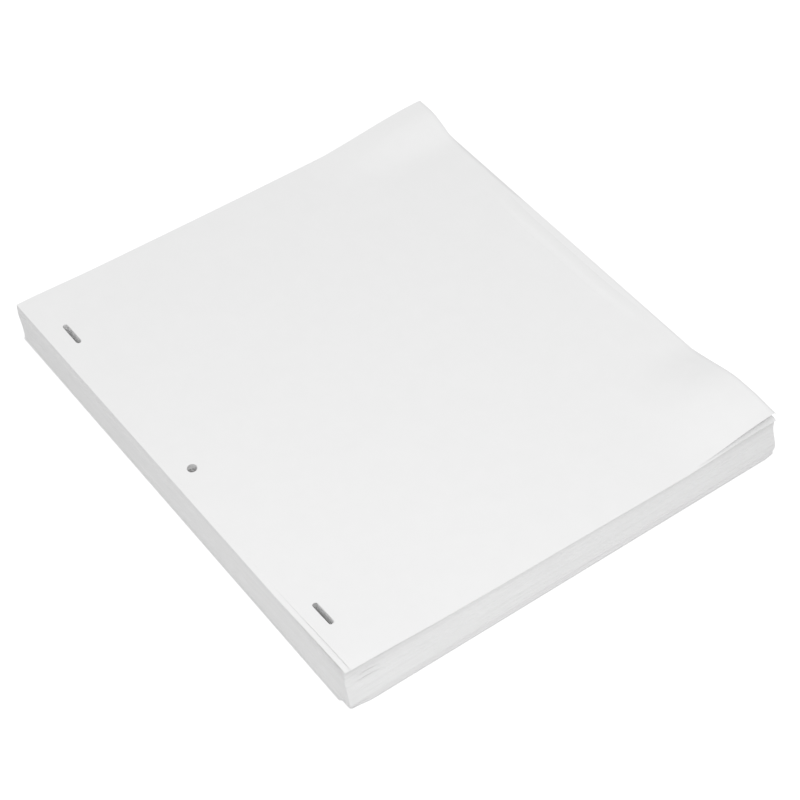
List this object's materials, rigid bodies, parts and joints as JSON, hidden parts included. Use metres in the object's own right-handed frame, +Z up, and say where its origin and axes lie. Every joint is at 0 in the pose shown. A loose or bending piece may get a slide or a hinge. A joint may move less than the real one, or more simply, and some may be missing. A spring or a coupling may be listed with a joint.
{
  "type": "punched animation paper",
  "caption": "Squared-up stack of blank drawing paper, punched along one long edge with a round hole between two slots.",
  "frame": {"origin": "middle of the stack's footprint, on the surface that it lies on", "axes": "+X from the punched edge to the far edge, +Y along the punched edge, +Z up through the stack"},
  "size_m": [0.2424, 0.2693, 0.0286],
  "materials": {
    "loose_paper": "matte",
    "stacked_paper": "matte"
  },
  "bodies": {
    "root": {"bottom_sheet": "loose_paper", "sheet_stack": "stacked_paper", "second_sheet": "loose_paper", "top_sheet": "loose_paper"}
  },
  "joints": []
}
